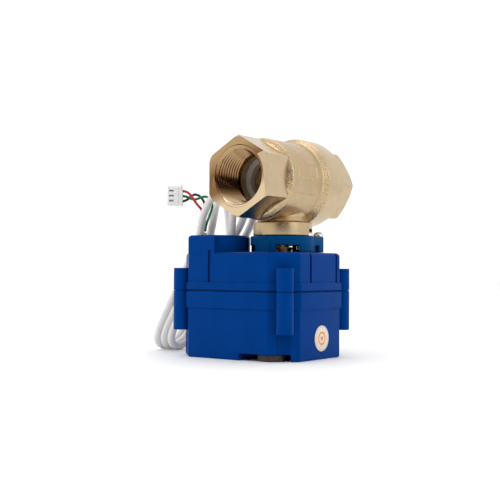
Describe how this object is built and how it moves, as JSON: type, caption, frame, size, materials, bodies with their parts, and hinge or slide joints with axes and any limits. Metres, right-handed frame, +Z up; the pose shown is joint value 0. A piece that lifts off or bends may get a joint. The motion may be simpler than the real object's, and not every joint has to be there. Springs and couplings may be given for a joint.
{
  "type": "motorized ball valve",
  "caption": "Two-port threaded brass ball valve on a yoke above a plastic box with a geared motor drive, with a coiled cable ending in a plug.",
  "frame": {"origin": "centre of the box's footprint, on the surface it stands on", "axes": "+X to the actuator's right, +Y along the valve from inlet to outlet, +Z up"},
  "size_m": [0.0973, 0.071, 0.1038],
  "materials": {
    "blue_housing": "semi-gloss moulded",
    "teal_yoke": "semi-gloss moulded",
    "nickel_brass": "nickel-plated, turned and cast",
    "screw_steel": "zinc-plated",
    "white_acetal": "moulded",
    "white_teflon": "turned",
    "black_plastic": "moulded",
    "brown_plastic": "moulded",
    "white_plastic": "moulded",
    "green_board": "lacquered",
    "dark_rubber": "moulded",
    "cable_jacket": "satin jacket",
    "red_insulation": "satin",
    "green_insulation": "satin",
    "dark_insulation": "satin",
    "sticker_paper": "printed paper",
    "tinned_contact": "tinned"
  },
  "bodies": {
    "actuator": {"lower_cover": "blue_housing", "upper_housing": "blue_housing", "lid_gasket": "dark_rubber", "cable_grommet": "dark_rubber", "inspection_sticker": "sticker_paper", "housing_screw_1": "screw_steel", "housing_screw_2": "screw_steel", "housing_screw_3": "screw_steel", "housing_screw_4": "screw_steel", "gear_plate": "screw_steel", "plate_screw_1": "screw_steel", "plate_screw_2": "screw_steel", "gear_axle_a": "screw_steel", "gear_axle_b": "screw_steel", "motor": "screw_steel", "board_screw_1": "screw_steel", "board_screw_2": "screw_steel", "yoke_screw_1": "screw_steel", "yoke_screw_2": "screw_steel", "yoke_screw_3": "screw_steel", "yoke_screw_4": "screw_steel", "valve_screw_1": "screw_steel", "valve_screw_2": "screw_steel", "valve_body": "nickel_brass", "end_cap": "nickel_brass", "seat_ring_inlet": "white_teflon", "seat_ring_outlet": "white_teflon", "stem_washer": "white_teflon", "limit_switch_open": "black_plastic", "limit_switch_closed": "black_plastic", "circuit_board": "green_board", "yoke_bracket": "teal_yoke", "cable": "cable_jacket", "wire_red": "red_insulation", "wire_green": "green_insulation", "wire_black": "dark_insulation", "connector_housing": "white_plastic", "connector_contact_1": "tinned_contact", "connector_contact_2": "tinned_contact", "connector_contact_3": "tinned_contact"},
    "output_turn": {"ball": "nickel_brass", "stem": "nickel_brass", "stem_o_ring_lower": "dark_rubber", "stem_o_ring_upper": "dark_rubber", "output_shaft": "screw_steel", "output_gear": "white_acetal", "limit_cam": "black_plastic"},
    "gear_b_turn": {"gear_b": "white_acetal"},
    "gear_a_turn": {"gear_a": "white_acetal"},
    "motor_turn": {"motor_shaft": "screw_steel", "motor_pinion": "nickel_brass"},
    "override_turn": {"override_shaft": "screw_steel", "override_knob": "brown_plastic"}
  },
  "joints": [
    {"name": "output_rotation", "type": "hinge", "parent": "actuator", "child": "output_turn", "pos_m": [0.012, 0, 0], "axis": [0, 0, 1], "range_deg": [0, 90]},
    {"name": "gear_b_spin", "type": "hinge", "parent": "actuator", "child": "gear_b_turn", "pos_m": [-0.00649, 0.00862, 0], "axis": [0, 0, 1], "range_deg": [-327.28, 0]},
    {"name": "gear_a_spin", "type": "hinge", "parent": "actuator", "child": "gear_a_turn", "pos_m": [-0.01816, 0.00126, 0], "axis": [0, 0, 1], "range_deg": [0, 1178.19]},
    {"name": "motor_spin", "type": "hinge", "parent": "actuator", "child": "motor_turn", "pos_m": [-0.0162, -0.0124, 0], "axis": [0, 0, 1], "range_deg": [-4241.46, 0]},
    {"name": "override_spin", "type": "hinge", "parent": "actuator", "child": "override_turn", "pos_m": [0.01938, -0.01902, 0], "axis": [0, 0, 1], "range_deg": [-327.28, 0]}
  ],
  "couplings": [
    {"joint": "gear_b_spin", "follows": "output_rotation", "ratio": -3.6364},
    {"joint": "gear_a_spin", "follows": "output_rotation", "ratio": 13.091},
    {"joint": "motor_spin", "follows": "output_rotation", "ratio": -47.127},
    {"joint": "override_spin", "follows": "output_rotation", "ratio": -3.6364}
  ]
}
